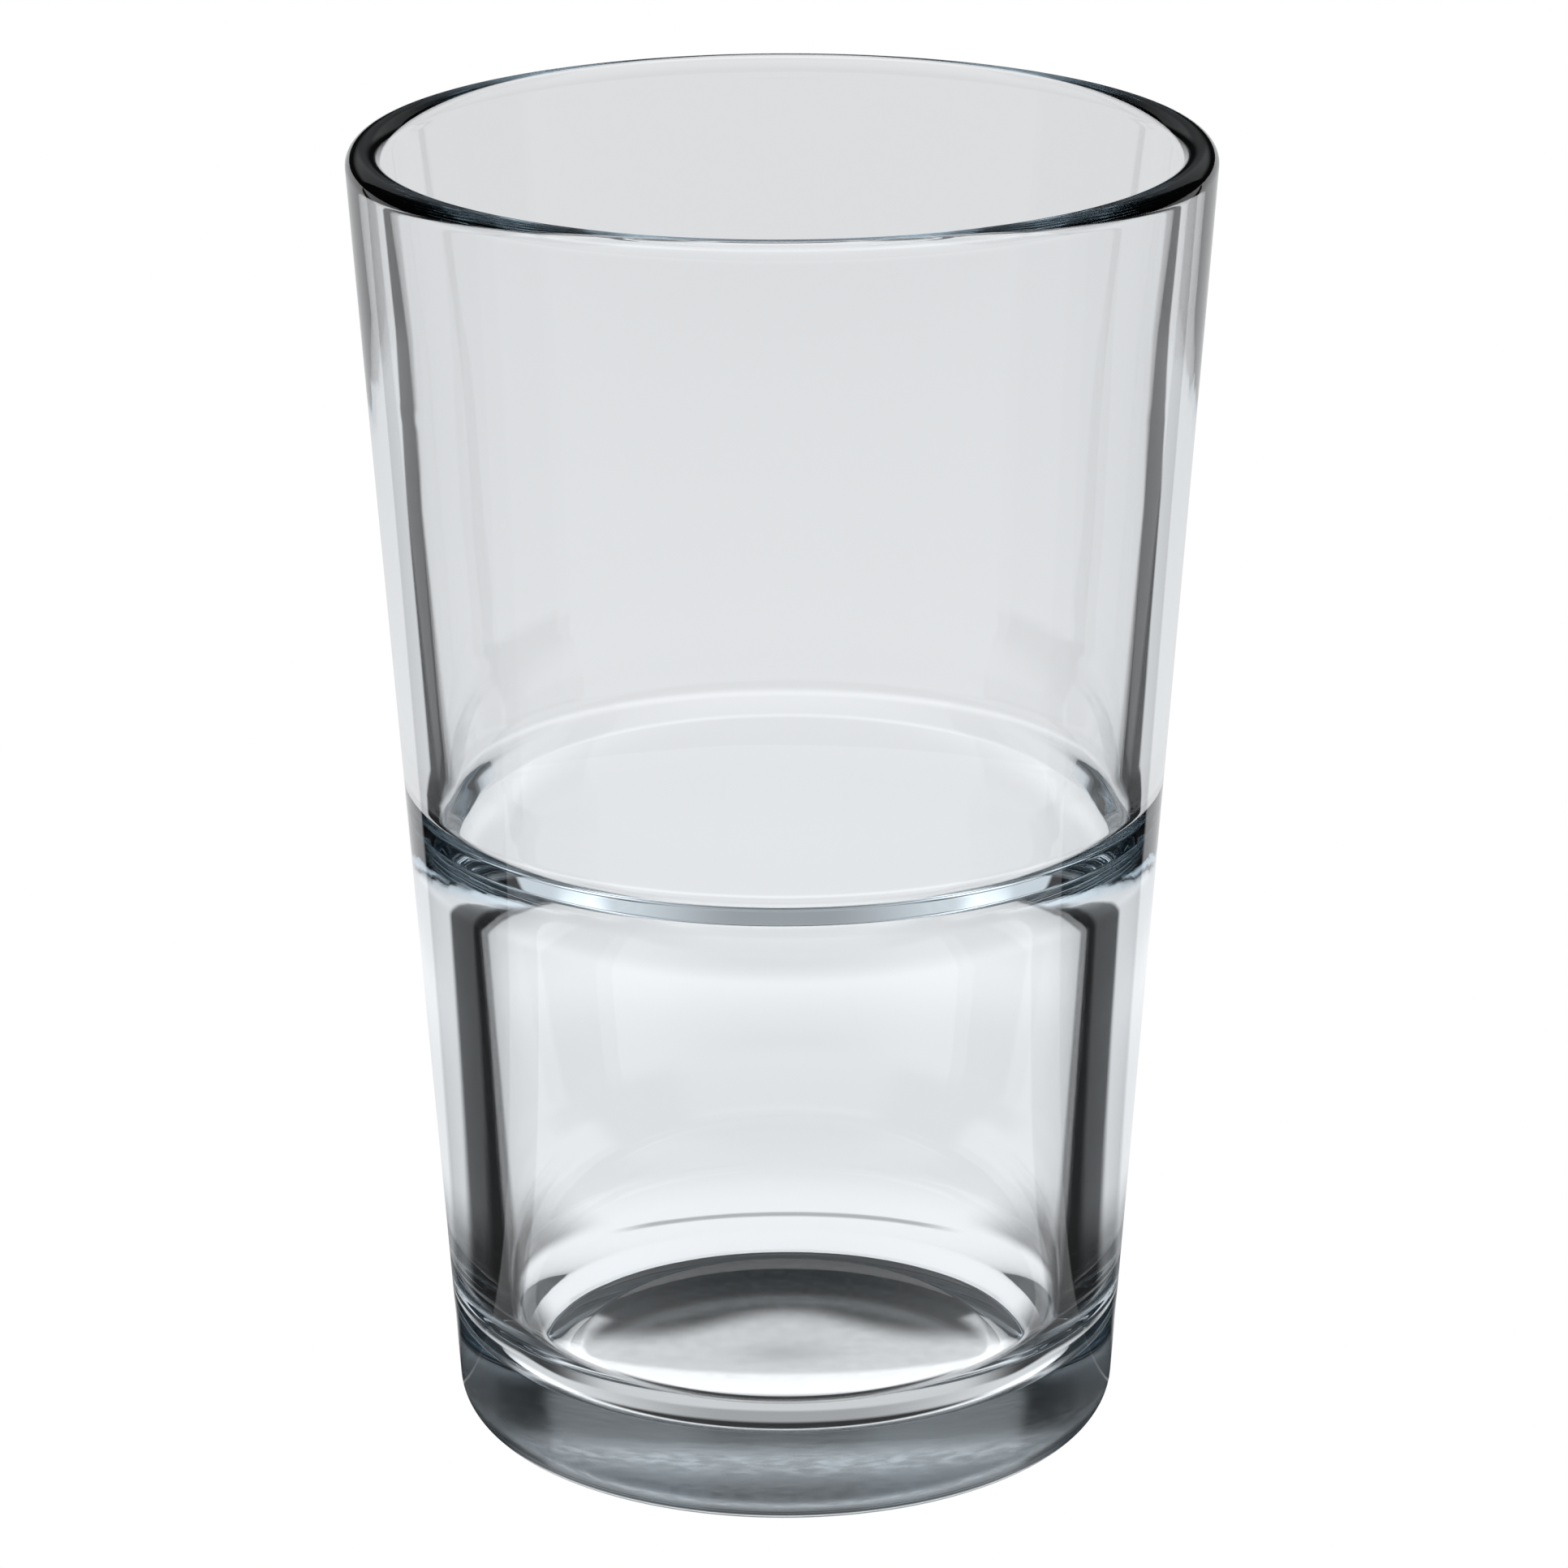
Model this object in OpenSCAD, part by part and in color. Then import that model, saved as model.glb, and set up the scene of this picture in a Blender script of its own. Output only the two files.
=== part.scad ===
// Stackable juice glass: one pressed piece of clear glass.
// Straight tapered outside, a steep inner shoulder half way up that carries the foot
// of the next glass in a stack, a narrower thick-walled lower half and a heavy base.
// Millimetres, +Z up, origin at the centre of the foot on the surface it stands on.

/* [Outside] */
// Height from the table to the top of the rim
height = 109; // [95:0.5:120]
// Outer diameter of the tapered side, carried up to the rim plane
rim_d = 70; // [68.5:0.1:74]
// Outer diameter of the tapered side, carried down to the table
foot_d = 55; // [52:0.1:55]
// Radius of the rounded outer corner of the foot
foot_round = 3.1; // [1.5:0.1:4]

/* [Wall] */
// Thickness of the wall at the fire-polished rim, carried up to the rim plane
rim_wall = 2.8; // [2.4:0.1:3.2]
// Depth over which the wall thickens below the rim
lip_drop = 19; // [14:0.5:24]
// Thickness of the wall below the lip
lip_wall = 3.5; // [3.3:0.05:3.7]
// Radius where the lip runs into the wall
lip_blend = 350; // [100:10:360]

/* [Stacking shoulder] */
// Bore of the short straight seat above the shoulder
seat_d = 56.2; // [55.4:0.1:56.6]
// Height at which the tapered bore meets the seat
seat_top = 58.7; // [57.5:0.1:61]
// Height at which the seat turns into the shoulder
seat_low = 54.8; // [54.2:0.1:55]
// Diameter at the bottom of the shoulder
shoulder_d = 53; // [52.6:0.1:53.2]
// Height of the bottom of the shoulder
shoulder_z = 52.65; // [52.5:0.05:52.8]
// Diameter of the lower hollow at its top
lower_top_d = 51.2; // [51:0.1:51.5]
// Height of the top of the lower hollow
lower_top_z = 50; // [49.4:0.1:50.1]
// Radius where the tapered bore runs into the seat
seat_blend = 40; // [10:1:44]
// Radius in the corner between the seat and the shoulder
shoulder_corner = 2.9; // [1:0.1:3.2]
// Radius of the bottom edge of the shoulder
shoulder_edge = 1.6; // [0.3:0.1:1.8]
// Radius where the shoulder runs into the lower wall
lower_blend = 16; // [5:1:16]

/* [Lower hollow and base] */
// Height of the inner floor above the table, which is the thickness of the base
floor_z = 6.1; // [4.5:0.1:12]
// Diameter of the flat inner floor
floor_d = 34.6; // [32:0.1:35]
// Diameter of the lower hollow, carried down to its bottom corner
corner_d = 46.3; // [45.4:0.1:47]
// Rise from the edge of the floor to that corner
corner_rise = 1.25; // [1:0.05:1.6]
// Radius between the lower wall and the inner floor
floor_round = 7.4; // [3:0.1:7.5]
// Height of the hollowed underside at its middle
push_up = 0.4; // [0.2:0.1:1.5]
// Inner diameter of the flat ring that the glass stands on
ring_d = 41; // [34:0.5:43]

/* [Hidden] */
$fn = 128;

rim_r = rim_d / 2;
foot_r = foot_d / 2;
side_slope = (rim_r - foot_r) / height;

// Radii of the cavity's corners
upper_top_r = rim_r - rim_wall;
seat_r = seat_d / 2;
shoulder_r = shoulder_d / 2;
lower_top_r = lower_top_d / 2;
floor_r = floor_d / 2;
corner_r = corner_d / 2;
lip_z = height - lip_drop;
lip_r = foot_r + side_slope * lip_z - lip_wall;
bore_slope = (upper_top_r - lip_r) / lip_drop;

// How far a rounding reaches past the sides of its corner, and how far its arc crosses them
past = 0.3;
cross_over = 0.002;

// Bead that is tangent to both sides of the wall, with its top at the full height
bead_r = (rim_r - upper_top_r)
    / (sqrt(1 + pow(side_slope, 2)) + sqrt(1 + pow(bore_slope, 2)) + side_slope - bore_slope);
bead_z = height - bead_r;
bead_x = rim_r - side_slope * bead_r - bead_r * sqrt(1 + pow(side_slope, 2));

// Sphere that hollows the underside inside the standing ring
cap_r = (pow(ring_d / 2, 2) + pow(push_up, 2)) / (2 * push_up);

function unit(v) = v / norm(v);
// Distance from a corner to where an arc of radius r touches its two sides
function reach(p, a, b, r) = r / tan(acos(unit(a - p) * unit(b - p)) / 2);
// Centre of that arc
function centre(p, a, b, r) =
    p + unit(unit(a - p) + unit(b - p)) * r / sin(acos(unit(a - p) * unit(b - p)) / 2);

// The sliver between a corner p, with sides towards a and b, and an arc of radius r;
// it reaches a little past the corner's two sides, and the arc just crosses them
module corner_sliver(p, a, b, r) {
    c = centre(p, a, b, r);
    t = reach(p, a, b, r);
    k = 1 + past / r;
    difference() {
        polygon([c + (p - c) * k, c + (p + unit(a - p) * t - c) * k, c, c + (p + unit(b - p) * t - c) * k]);
        translate(c) circle(r = r + cross_over);
    }
}

// Half section of the solid blank, from the axis to the tapered side
module blank_section() {
    foot_in = [0, 0];
    foot_out = [foot_r, 0];
    rim_out = [rim_r, height];
    difference() {
        polygon([foot_in, foot_out, rim_out, [0, height]]);
        corner_sliver(foot_out, foot_in, rim_out, foot_round);
        translate([0, push_up - cap_r]) circle(r = cap_r);
    }
}

// Half section of the hollow: lip, upper bore, seat, shoulder, lower hollow and floor
module hollow_section() {
    floor_in = [0, floor_z];
    floor_edge = [floor_r, floor_z];
    floor_out = [corner_r, floor_z + corner_rise];
    lower_top = [lower_top_r, lower_top_z];
    shoulder_foot = [shoulder_r, shoulder_z];
    seat_bottom = [seat_r, seat_low];
    seat_start = [seat_r, seat_top];
    lip = [lip_r, lip_z];
    mouth = [upper_top_r + bore_slope, height + 1];
    union() {
        difference() {
            polygon([floor_in, floor_edge, floor_out, lower_top, shoulder_foot, seat_bottom, seat_start, lip, mouth, [0, height + 1]]);
            corner_sliver(floor_out, floor_edge, lower_top, floor_round);
            corner_sliver(seat_bottom, shoulder_foot, seat_start, shoulder_corner);
        }
        corner_sliver(lower_top, floor_out, shoulder_foot, lower_blend);
        corner_sliver(shoulder_foot, lower_top, seat_bottom, shoulder_edge);
        corner_sliver(seat_start, seat_bottom, lip, seat_blend);
        corner_sliver(lip, seat_start, mouth, lip_blend);
    }
}

// Everything above where the rim's bead touches the two sides of the wall
module rim_cut() {
    out = unit([1, -side_slope]) * 3 * bead_r;
    in = unit([-1, bore_slope]) * 3 * bead_r;
    translate([bead_x, bead_z])
        polygon([[0, 0], out, [3 * bead_r, 4 * bead_r], [-3 * bead_r, 4 * bead_r], in]);
}

module glass_body() {
    color([0.86, 0.9, 0.9, 0.45])
        rotate_extrude()
            union() {
                difference() {
                    blank_section();
                    hollow_section();
                    rim_cut();
                }
                translate([bead_x, bead_z - cross_over]) circle(r = bead_r + cross_over);
            }
}

glass_body();
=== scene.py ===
import math

import bpy
import bmesh
from mathutils import Matrix, Vector, noise


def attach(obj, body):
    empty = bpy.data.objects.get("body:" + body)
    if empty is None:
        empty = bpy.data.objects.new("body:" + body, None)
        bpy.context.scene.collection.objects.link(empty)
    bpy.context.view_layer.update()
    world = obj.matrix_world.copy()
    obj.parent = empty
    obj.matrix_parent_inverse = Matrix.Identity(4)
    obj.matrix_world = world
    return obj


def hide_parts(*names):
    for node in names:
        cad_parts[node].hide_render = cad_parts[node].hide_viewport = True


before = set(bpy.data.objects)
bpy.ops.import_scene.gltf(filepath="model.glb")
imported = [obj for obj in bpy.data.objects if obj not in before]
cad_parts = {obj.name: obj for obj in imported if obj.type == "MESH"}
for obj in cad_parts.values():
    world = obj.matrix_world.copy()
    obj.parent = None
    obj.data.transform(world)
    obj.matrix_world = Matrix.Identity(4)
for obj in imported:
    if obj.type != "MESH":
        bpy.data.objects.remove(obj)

scene = bpy.context.scene
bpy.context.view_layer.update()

# ---------------------------------------------------------------------------
# The glass: one pressed body of revolution. Millimetres here, metres in the mesh.
# ---------------------------------------------------------------------------
HEIGHT, RIM_R, FOOT_R, FOOT_ROUND = 109.0, 35.0, 27.5, 3.1
RIM_WALL, LIP_R, LIP_Z, LIP_BLEND = 2.8, 30.19, 90.0, 350.0  # the wall thins gently towards the rim
SEAT_R, SEAT_TOP, SEAT_LOW = 28.1, 58.7, 54.8              # straight seat above the shoulder
SHOULDER_R, SHOULDER_Z = 26.5, 52.65                       # foot of the steep shoulder
LOWER_R, LOWER_Z = 25.6, 50.05                             # top of the lower hollow
SEAT_BLEND, SHOULDER_CORNER, SHOULDER_EDGE, LOWER_BLEND = 40.0, 2.9, 1.6, 18.0
FLOOR_Z, FLOOR_R, FLOOR_EDGE = 6.1, 17.3, 2.0              # flat disc at the bottom of the hollow, and its edge
CORNER_R, CORNER_RISE, FLOOR_ROUND = 23.15, 1.25, 7.4
PUSH_UP, RING_R, RING_EDGE = 0.4, 20.5, 0.8
STIPPLE_R = 20.3       # the stippled middle of the underside
TURNS = 512            # faces around


def rounded(corners, radii, steps):
    """A polyline whose corners are arcs of the given radii."""
    out = []
    for i, corner in enumerate(corners):
        p, r = Vector(corner), radii[i]
        if r <= 0:
            out.append((p.x, p.y))
            continue
        a = (Vector(corners[i - 1]) - p).normalized()
        b = (Vector(corners[i + 1]) - p).normalized()
        half = math.acos(max(-1.0, min(1.0, a.dot(b)))) / 2
        c = p + (a + b).normalized() * (r / math.sin(half))
        s = p + a * (r / math.tan(half)) - c
        e = p + b * (r / math.tan(half)) - c
        a0, a1 = math.atan2(s.y, s.x), math.atan2(e.y, e.x)
        turn = (a1 - a0 + math.pi) % (2 * math.pi) - math.pi
        for k in range(steps + 1):
            t = a0 + turn * k / steps
            out.append((c.x + r * math.cos(t), c.y + r * math.sin(t)))
    return out


def section():
    """Half section as (r, z, zone): from the middle of the underside out, up over the rim and down inside."""
    k = (RIM_R - FOOT_R) / HEIGHT
    top_in = RIM_R - RIM_WALL
    k2 = (top_in - LIP_R) / (HEIGHT - LIP_Z)
    bead = (RIM_R - top_in) / (math.sqrt(1 + k * k) + math.sqrt(1 + k2 * k2) + k - k2)
    bx, bz = RIM_R - k * bead - bead * math.sqrt(1 + k * k), HEIGHT - bead
    t_out, t_in = math.atan2(-k, 1), math.pi - math.atan2(-k2, 1)
    cap = (RING_R ** 2 + PUSH_UP ** 2) / (2 * PUSH_UP)
    under = [(RING_R * i / 30, PUSH_UP - cap + math.sqrt(cap ** 2 - (RING_R * i / 30) ** 2)) for i in range(30)]
    side_end = (bx + bead * math.cos(t_out), bz + bead * math.sin(t_out))
    foot = rounded([under[-1], (RING_R, 0), (FOOT_R, 0), side_end], [0, RING_EDGE, FOOT_ROUND, 0], 18)[1:]
    rim = [(bx + bead * math.cos(t_out + (t_in - t_out) * i / 36),
            bz + bead * math.sin(t_out + (t_in - t_out) * i / 36)) for i in range(1, 37)]
    inner = rounded([rim[-1], (LIP_R, LIP_Z), (SEAT_R, SEAT_TOP), (SEAT_R, SEAT_LOW), (SHOULDER_R, SHOULDER_Z),
                     (LOWER_R, LOWER_Z), (CORNER_R, FLOOR_Z + CORNER_RISE), (FLOOR_R, FLOOR_Z), (0, FLOOR_Z)],
                    [0, LIP_BLEND, SEAT_BLEND, SHOULDER_CORNER, SHOULDER_EDGE, LOWER_BLEND, FLOOR_ROUND, FLOOR_EDGE, 0], 22)[1:]
    raw = under + foot + rim + inner
    # long straight runs get points of their own, closer together beside the arcs
    pts = [raw[0]]
    for q in raw[1:]:
        p = pts[-1]
        run = math.dist(p, q)
        if run < 1e-6:
            continue
        if run > 1.4:
            n = max(1, int(run / 1.2))
            ts = sorted({round(t, 6) for t in [0.2 / run, 0.5 / run, 1 - 0.5 / run, 1 - 0.2 / run]
                         + [j / n for j in range(1, n)]})
            for t in ts:
                if 0 < t < 1:
                    pts.append((p[0] + (q[0] - p[0]) * t, p[1] + (q[1] - p[1]) * t))
        pts.append(q)
    return pts


def unevenness(r, z, a, inside):
    """Small departures from the true section, as pressing leaves them: (radial, upward) in millimetres."""
    c, s = math.cos(a), math.sin(a)
    if inside and z > FLOOR_Z + 3:
        flow = 0.006 * noise.noise(Vector((6 * c, 6 * s, 0.01 * z))) + 0.012 * noise.noise(Vector((2 * c, 2 * s, 0.05 * z)))
        if LOWER_Z - 1 < z < SEAT_TOP - 1:
            flow += 0.0012 * noise.noise(Vector((2.5 * c, 2.5 * s, 1.6 * z)))
        return flow, 0.0
    if not inside and r < STIPPLE_R and z < PUSH_UP + 0.1:
        edge = min(1.0, (STIPPLE_R - r) / 3)
        return 0.0, 0.006 * edge * (0.6 + noise.noise(Vector((0.7 * r * c, 0.7 * r * s, 3.0))))
    return 0.0, 0.0


def lathe(name, pts, turns):
    verts, faces, rings = [], [], []
    top = max(range(len(pts)), key=lambda i: pts[i][1])
    for i, (r, z) in enumerate(pts):
        if r < 1e-6:
            rings.append([len(verts)])
            verts.append((0.0, 0.0, z * 1e-3))
            continue
        rings.append(list(range(len(verts), len(verts) + turns)))
        for j in range(turns):
            a = 2 * math.pi * j / turns
            dr, dz = unevenness(r, z, a, i > top + 40)
            verts.append(((r + dr) * 1e-3 * math.cos(a), (r + dr) * 1e-3 * math.sin(a), (z + dz) * 1e-3))
    for lo, hi in zip(rings, rings[1:]):
        for j in range(turns):
            m = (j + 1) % turns
            if len(lo) == 1:
                faces.append((lo[0], hi[m], hi[j]))
            elif len(hi) == 1:
                faces.append((lo[j], lo[m], hi[0]))
            else:
                faces.append((lo[j], lo[m], hi[m], hi[j]))
    mesh = bpy.data.meshes.new(name)
    mesh.from_pydata(verts, [], faces)
    bm = bmesh.new()
    bm.from_mesh(mesh)
    bmesh.ops.recalc_face_normals(bm, faces=bm.faces)
    bm.to_mesh(mesh)
    bm.free()
    mesh.polygons.foreach_set("use_smooth", [True] * len(mesh.polygons))
    obj = bpy.data.objects.new(name, mesh)
    scene.collection.objects.link(obj)
    return obj


glass = lathe("tumbler", section(), TURNS)


# ---------------------------------------------------------------------------
# Clear soda-lime glass
# ---------------------------------------------------------------------------
def link(nt, a, b):
    nt.links.new(a, b)


def calc(nt, op, a, b=None):
    n = nt.nodes.new("ShaderNodeMath")
    n.operation = op
    for i, v in enumerate((a, b)):
        if v is None:
            continue
        if isinstance(v, (int, float)):
            n.inputs[i].default_value = v
        else:
            link(nt, v, n.inputs[i])
    return n.outputs[0]


def ramp(nt, x, lo, hi, a=0.0, b=1.0):
    n = nt.nodes.new("ShaderNodeMapRange")
    n.interpolation_type = "SMOOTHSTEP"
    link(nt, x, n.inputs["Value"])
    n.inputs["From Min"].default_value = lo
    n.inputs["From Max"].default_value = hi
    n.inputs["To Min"].default_value = a
    n.inputs["To Max"].default_value = b
    return n.outputs["Result"]


def clear_glass():
    mat = bpy.data.materials.new("clear_glass")
    mat.use_nodes = True
    nt = mat.node_tree
    p = nt.nodes["Principled BSDF"]
    p.inputs["Base Color"].default_value = (1, 1, 1, 1)
    p.inputs["IOR"].default_value = 1.52
    p.inputs["Transmission Weight"].default_value = 1.0
    # fire-polished all over, but for the stippled underside inside the standing ring
    where = nt.nodes.new("ShaderNodeTexCoord")
    split = nt.nodes.new("ShaderNodeSeparateXYZ")
    link(nt, where.outputs["Object"], split.inputs[0])
    x, y, z = split.outputs
    r = calc(nt, "SQRT", calc(nt, "ADD", calc(nt, "MULTIPLY", x, x), calc(nt, "MULTIPLY", y, y)))
    stipple = calc(nt, "MULTIPLY", ramp(nt, z, 0.0012, 0.0008), ramp(nt, r, 0.0206, 0.0202))
    grain = nt.nodes.new("ShaderNodeTexNoise")
    grain.inputs["Scale"].default_value = 900.0
    grain.inputs["Detail"].default_value = 3.0
    link(nt, where.outputs["Object"], grain.inputs["Vector"])
    fine = calc(nt, "MULTIPLY", stipple, ramp(nt, grain.outputs["Fac"], 0.3, 0.7, 0.17, 0.25))
    link(nt, calc(nt, "ADD", fine, 0.001), p.inputs["Roughness"])
    # the faint drawn skin of pressed glass, stretched along the height
    skin = nt.nodes.new("ShaderNodeTexNoise")
    skin.inputs["Scale"].default_value = 260.0
    skin.inputs["Detail"].default_value = 2.0
    drawn = nt.nodes.new("ShaderNodeVectorMath")
    drawn.operation = "MULTIPLY"
    drawn.inputs[1].default_value = (1.0, 1.0, 0.15)
    link(nt, where.outputs["Object"], drawn.inputs[0])
    link(nt, drawn.outputs[0], skin.inputs["Vector"])
    bump = nt.nodes.new("ShaderNodeBump")
    bump.inputs["Strength"].default_value = 0.4
    bump.inputs["Distance"].default_value = 0.00001
    link(nt, skin.outputs["Fac"], bump.inputs["Height"])
    link(nt, bump.outputs[0], p.inputs["Normal"])
    absorb = nt.nodes.new("ShaderNodeVolumeAbsorption")
    absorb.inputs["Color"].default_value = (0.86, 0.92, 0.955, 1)
    absorb.inputs["Density"].default_value = 30.0
    link(nt, absorb.outputs[0], nt.nodes["Material Output"].inputs["Volume"])
    return mat


glass.data.materials.append(clear_glass())
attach(glass, "root")
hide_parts("glass_body")

# ---------------------------------------------------------------------------
# Camera: the photograph's viewing angle. The glass is round, so the bearing is free.
# ---------------------------------------------------------------------------
BEARING = math.radians(225)
turn = Matrix.Rotation(BEARING, 4, "Z")
cam = bpy.data.cameras.new("camera")
camera = bpy.data.objects.new("camera", cam)
scene.collection.objects.link(camera)
cam.sensor_fit = "HORIZONTAL"
cam.sensor_width = 36.0
cam.lens = 140.68
cam.clip_start, cam.clip_end = 0.01, 100
camera.matrix_world = (turn @ Matrix.Translation((0, -0.4802, 0.21746))
                       @ Matrix.Rotation(math.radians(90 - 18.72), 4, "X")
                       @ Matrix.Rotation(math.radians(-0.178), 4, "Z"))
scene.camera = camera


# ---------------------------------------------------------------------------
# Stage: a pale floor and backdrop for the camera, and the studio that the glass shows
# ---------------------------------------------------------------------------
def emission_material(name):
    mat = bpy.data.materials.new(name)
    mat.use_nodes = True
    nt = mat.node_tree
    nt.nodes.clear()
    out = nt.nodes.new("ShaderNodeOutputMaterial")
    glow = nt.nodes.new("ShaderNodeEmission")
    link(nt, glow.outputs[0], out.inputs["Surface"])
    return mat, nt, glow


def plane(name, half, z):
    mesh = bpy.data.meshes.new(name)
    mesh.from_pydata([(-half, -half, z), (half, -half, z), (half, half, z), (-half, half, z)], [], [(0, 1, 2, 3)])
    obj = bpy.data.objects.new(name, mesh)
    scene.collection.objects.link(obj)
    return obj


def only_camera(obj):
    for flag in ("visible_diffuse", "visible_glossy", "visible_transmission", "visible_volume_scatter", "visible_shadow"):
        setattr(obj, flag, False)


# what the camera sees: a pale floor running into a pale backdrop
floor = plane("floor", 4.0, -0.0002)
mat, nt, glow = emission_material("pale_floor")
glow.inputs["Color"].default_value = (1, 1, 1, 1)
floor.data.materials.append(mat)
only_camera(floor)

bpy.ops.mesh.primitive_uv_sphere_add(segments=48, ring_count=24, radius=6.0, location=(0, 0, 0))
dome = bpy.context.object
dome.name = "backdrop"
mat, nt, glow = emission_material("pale_backdrop")
glow.inputs["Color"].default_value = (1, 1, 1, 1)
dome.data.materials.append(mat)
only_camera(dome)

# what the glass shows: a glowing table whose brightness is painted as the light and shade on a lit white table, with
# black cards along both sides
table = plane("table", 60.0, -0.0004)
table.matrix_world = turn
table.visible_camera = False
mat, nt, glow = emission_material("table")
where = nt.nodes.new("ShaderNodeTexCoord")
split = nt.nodes.new("ShaderNodeSeparateXYZ")
link(nt, where.outputs["Object"], split.inputs[0])
x, y = split.outputs[0], split.outputs[1]
ax = calc(nt, "ABSOLUTE", x)
r = calc(nt, "SQRT", calc(nt, "ADD", calc(nt, "MULTIPLY", x, x), calc(nt, "MULTIPLY", y, y)))
az = calc(nt, "ABSOLUTE", calc(nt, "ARCTAN2", x, y))
front = ramp(nt, calc(nt, "ADD", y, calc(nt, "MULTIPLY", ax, 0.13)), 0.0065, 0.0055)
beside = calc(nt, "SUBTRACT", ax, calc(nt, "ADD", 0.0195, calc(nt, "MULTIPLY", y, 0.853)))
card = calc(nt, "MULTIPLY", ramp(nt, beside, -0.005, 0.005), calc(nt, "SUBTRACT", 1.0, front))
# the cards are strips, so that the white table shows again beyond them to the sides
beyond = calc(nt, "MULTIPLY", ramp(nt, beside, 0.056, 0.068), ramp(nt, r, 0.14, 0.19))
card_light = calc(nt, "ADD", 0.015, calc(nt, "MULTIPLY", beyond, 0.6))
back_light = calc(nt, "MAXIMUM", 0.742, calc(nt, "SUBTRACT", 0.888, calc(nt, "MULTIPLY", r, 0.42)))
# a soft ring of light that the glass itself throws on the table
glint = calc(nt, "POWER", calc(nt, "MULTIPLY", calc(nt, "SUBTRACT", r, 0.115), 75.0), 2.0)
glint = calc(nt, "MULTIPLY", calc(nt, "EXPONENT", calc(nt, "MULTIPLY", glint, -1.0)), ramp(nt, az, 0.9, 0.5))
back_light = calc(nt, "ADD", back_light, calc(nt, "MULTIPLY", glint, 0.15))
# in front the table has painted shade darkening it towards the foot, with the camera's own shade painted on it
# further out
lens = calc(nt, "MULTIPLY", ramp(nt, az, 1.9, 3.0), calc(nt, "MULTIPLY", ramp(nt, r, 0.044, 0.064), ramp(nt, r, 0.120, 0.068, 0.0, 0.8)))
front_light = calc(nt, "MULTIPLY", ramp(nt, r, 0.030, 0.068, 0.38, 0.82), calc(nt, "SUBTRACT", 1.0, lens))
# painted shade on either side in front, close to the foot
wings = calc(nt, "MULTIPLY", ramp(nt, az, 2.35, 1.95), ramp(nt, r, 0.055, 0.040))
front_light = calc(nt, "MULTIPLY", front_light, calc(nt, "SUBTRACT", 1.0, calc(nt, "MULTIPLY", wings, 0.9)))
# a painted strip of light right at the front edge of the foot
edge = calc(nt, "MULTIPLY", ramp(nt, r, 0.0305, 0.0285), ramp(nt, az, 2.0, 2.4))
front_light = calc(nt, "ADD", front_light, calc(nt, "MULTIPLY", edge, 0.3))
# behind the foot the painted light reaches up to the glass, with a patch of painted shade on either side
near = calc(nt, "MULTIPLY", calc(nt, "MULTIPLY", ramp(nt, r, 0.034, 0.039), ramp(nt, r, 0.066, 0.050)), ramp(nt, az, 0.5, 0.85))
back_light = calc(nt, "MULTIPLY", back_light, calc(nt, "SUBTRACT", 1.0, calc(nt, "MULTIPLY", near, 0.75)))
# painted light, growing brighter close behind the foot
back_light = calc(nt, "MULTIPLY", back_light, ramp(nt, r, 0.062, 0.031, 1.0, 1.24))
# a thin painted shadow ring on the table around the back of the foot
shadow_ring = calc(nt, "MULTIPLY", ramp(nt, calc(nt, "ABSOLUTE", calc(nt, "SUBTRACT", r, 0.0335)), 0.0008, 0.0002), ramp(nt, az, 0.6, 0.4))
back_light = calc(nt, "MULTIPLY", back_light, calc(nt, "SUBTRACT", 1.0, calc(nt, "MULTIPLY", shadow_ring, 0.5)))
light = calc(nt, "ADD", calc(nt, "MULTIPLY", front, front_light),
             calc(nt, "MULTIPLY", calc(nt, "SUBTRACT", 1.0, front), back_light))
light = calc(nt, "ADD", calc(nt, "MULTIPLY", calc(nt, "SUBTRACT", 1.0, card), light), calc(nt, "MULTIPLY", card, card_light))
# under the foot there is painted shade, but for a painted pool of light below the middle of the floor
xx = calc(nt, "MULTIPLY", x, x)
arch = calc(nt, "EXPONENT", calc(nt, "MULTIPLY", xx, -13800.0))
arch = calc(nt, "SUBTRACT", y, calc(nt, "ADD", calc(nt, "MULTIPLY", arch, 0.0062), 0.0052))
pool = calc(nt, "MULTIPLY", ramp(nt, arch, 0.0025, -0.0025), ramp(nt, y, -0.001, -0.0035, 0.94, 1.4))
# a painted darker spot inside the pool of light
spot = calc(nt, "ADD", calc(nt, "MULTIPLY", xx, 45000.0), calc(nt, "POWER", calc(nt, "MULTIPLY", calc(nt, "SUBTRACT", y, 0.0025), 560.0), 2.0))
pool = calc(nt, "SUBTRACT", pool, calc(nt, "MULTIPLY", calc(nt, "EXPONENT", calc(nt, "MULTIPLY", spot, -1.0)), 0.25))
oval = calc(nt, "SQRT", calc(nt, "ADD", calc(nt, "MULTIPLY", xx, 0.3), calc(nt, "MULTIPLY", y, y)))
pool = calc(nt, "ADD", 0.01, calc(nt, "MULTIPLY", pool, ramp(nt, oval, 0.0138, 0.0112)))
# a painted ring of light under the outer foot, away from the back
ring = calc(nt, "MULTIPLY", ramp(nt, az, 1.0, 1.06), ramp(nt, r, 0.0175, 0.0195))
pool = calc(nt, "ADD", pool, calc(nt, "MULTIPLY", ring, ramp(nt, az, 1.9, 2.9, 0.80, 0.38)))
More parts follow.
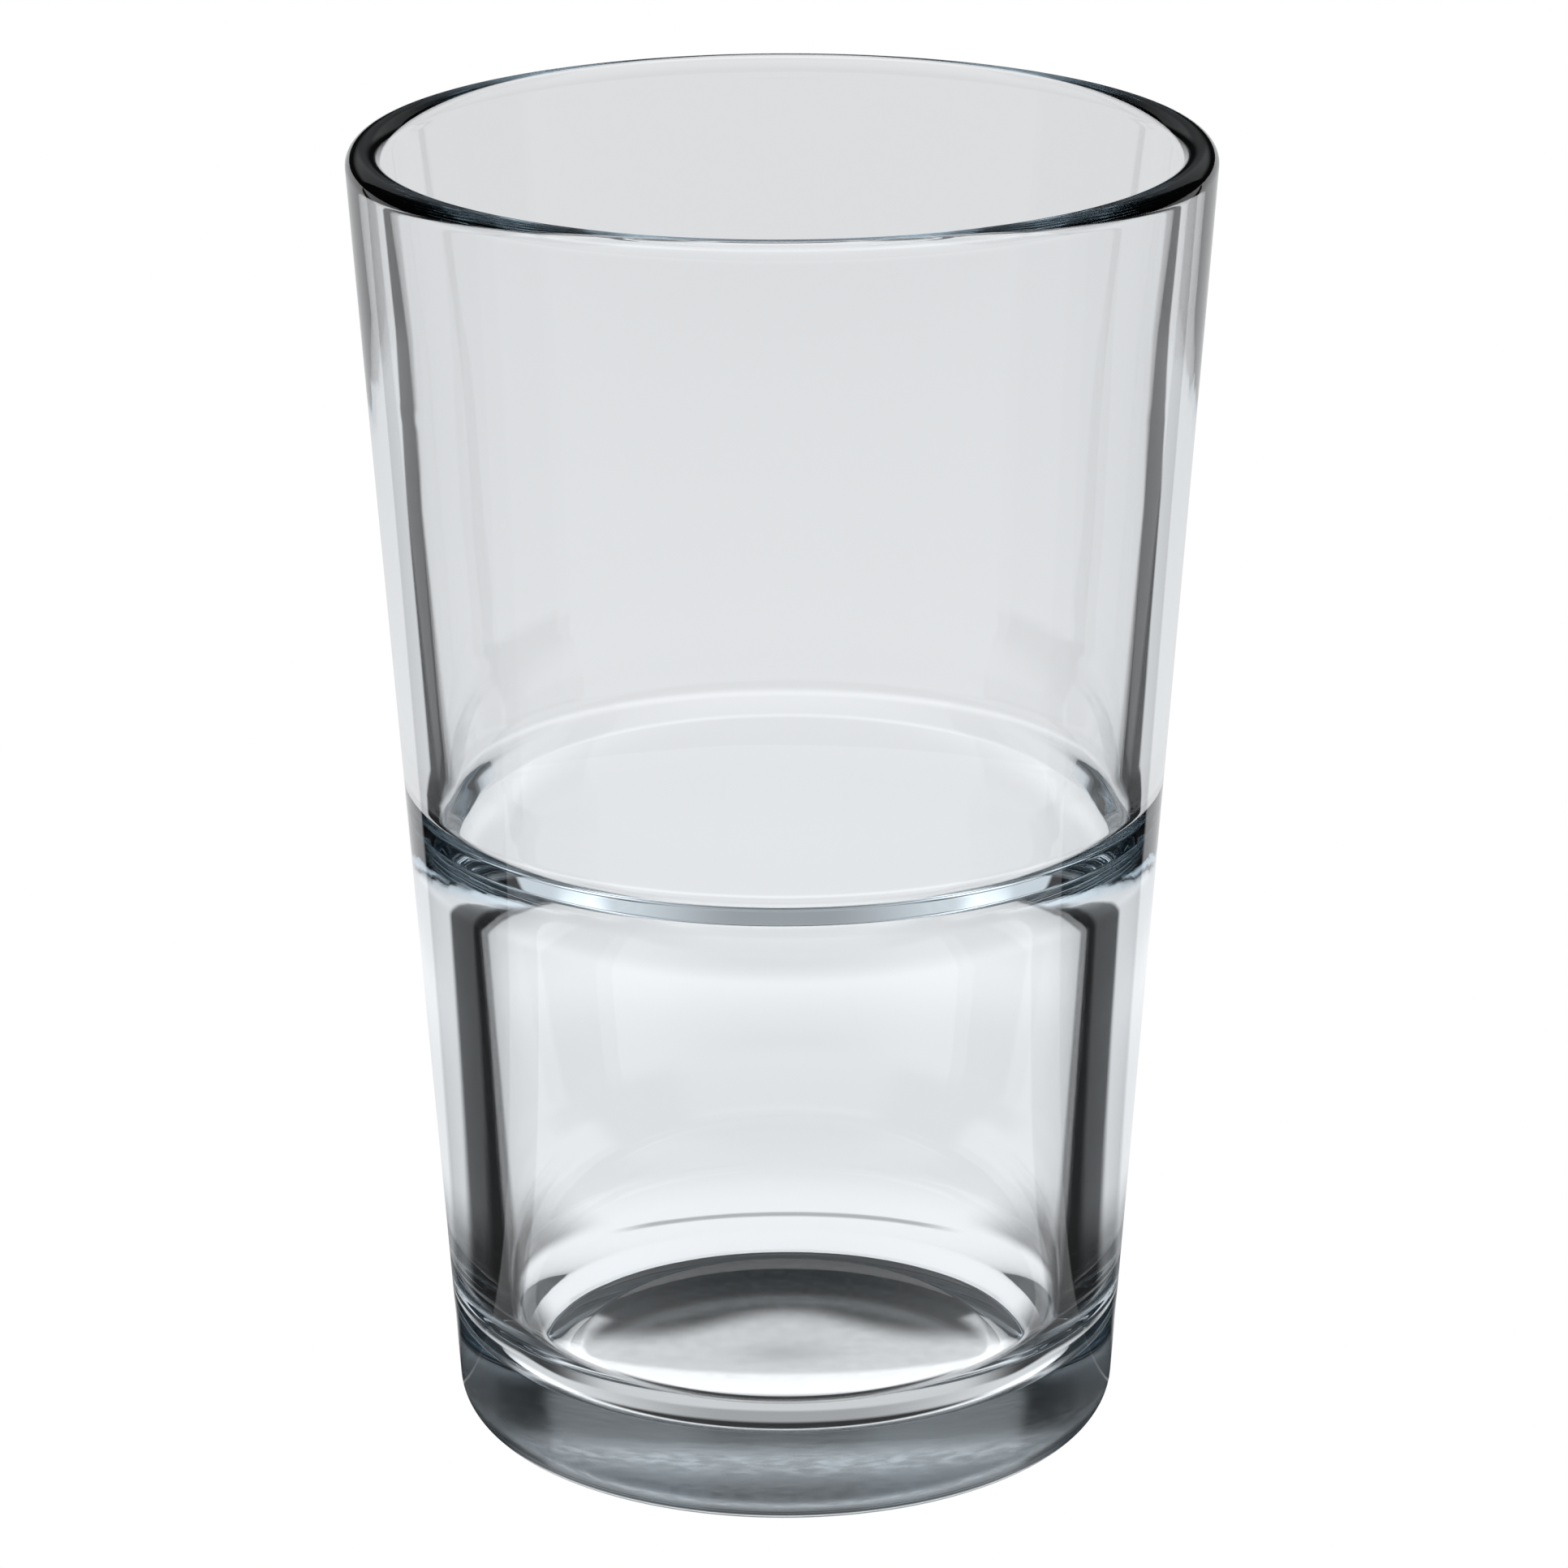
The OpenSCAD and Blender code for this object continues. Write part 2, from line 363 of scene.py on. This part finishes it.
# the painted shade and pool fill the table under the foot, reaching less far out in front
under = ramp(nt, calc(nt, "ADD", r, ramp(nt, az, 1.75, 2.1, 0.0, 0.0026)), 0.0272, 0.0258)
light = calc(nt, "ADD", calc(nt, "MULTIPLY", under, pool), calc(nt, "MULTIPLY", calc(nt, "SUBTRACT", 1.0, under), light))
glow.inputs["Color"].default_value = (0.975, 0.985, 1.0, 1)
link(nt, light, glow.inputs["Strength"])
table.data.materials.append(mat)

# and above it a dim room with soft light
world = bpy.data.worlds.new("studio")
scene.world = world
world.use_nodes = True
nt = world.node_tree
nt.nodes.clear()
out = nt.nodes.new("ShaderNodeOutputWorld")
sky = nt.nodes.new("ShaderNodeBackground")
link(nt, sky.outputs[0], out.inputs["Surface"])
where = nt.nodes.new("ShaderNodeTexCoord")
rotate = nt.nodes.new("ShaderNodeMapping")
rotate.inputs["Rotation"].default_value = (0, 0, -BEARING)
link(nt, where.outputs["Generated"], rotate.inputs["Vector"])
split = nt.nodes.new("ShaderNodeSeparateXYZ")
link(nt, rotate.outputs[0], split.inputs[0])
dx, dy, dz = split.outputs
az = calc(nt, "ABSOLUTE", calc(nt, "ARCTAN2", dx, dy))
el = calc(nt, "ARCSINE", dz)
DEG = math.pi / 180


low = calc(nt, "MULTIPLY", ramp(nt, el, 40 * DEG, 24 * DEG), ramp(nt, az, 37.5 * DEG, 35.5 * DEG))
low = calc(nt, "MULTIPLY", calc(nt, "MULTIPLY", low, ramp(nt, el, 7 * DEG, 14 * DEG)), ramp(nt, az, 6 * DEG, 14 * DEG, 0.5, 1.0))
high = ramp(nt, el, 38 * DEG, 50 * DEG)
light = calc(nt, "ADD", 0.01, calc(nt, "ADD", calc(nt, "MULTIPLY", low, 0.22), calc(nt, "MULTIPLY", high, 0.06)))
sky.inputs["Color"].default_value = (0.95, 0.98, 1.0, 1)
link(nt, light, sky.inputs["Strength"])

# ---------------------------------------------------------------------------
scene.cycles.max_bounces = 40
scene.cycles.transmission_bounces = 40
scene.cycles.glossy_bounces = 24
scene.cycles.caustics_reflective = True
scene.cycles.caustics_refractive = True
scene.view_settings.view_transform = "Standard"
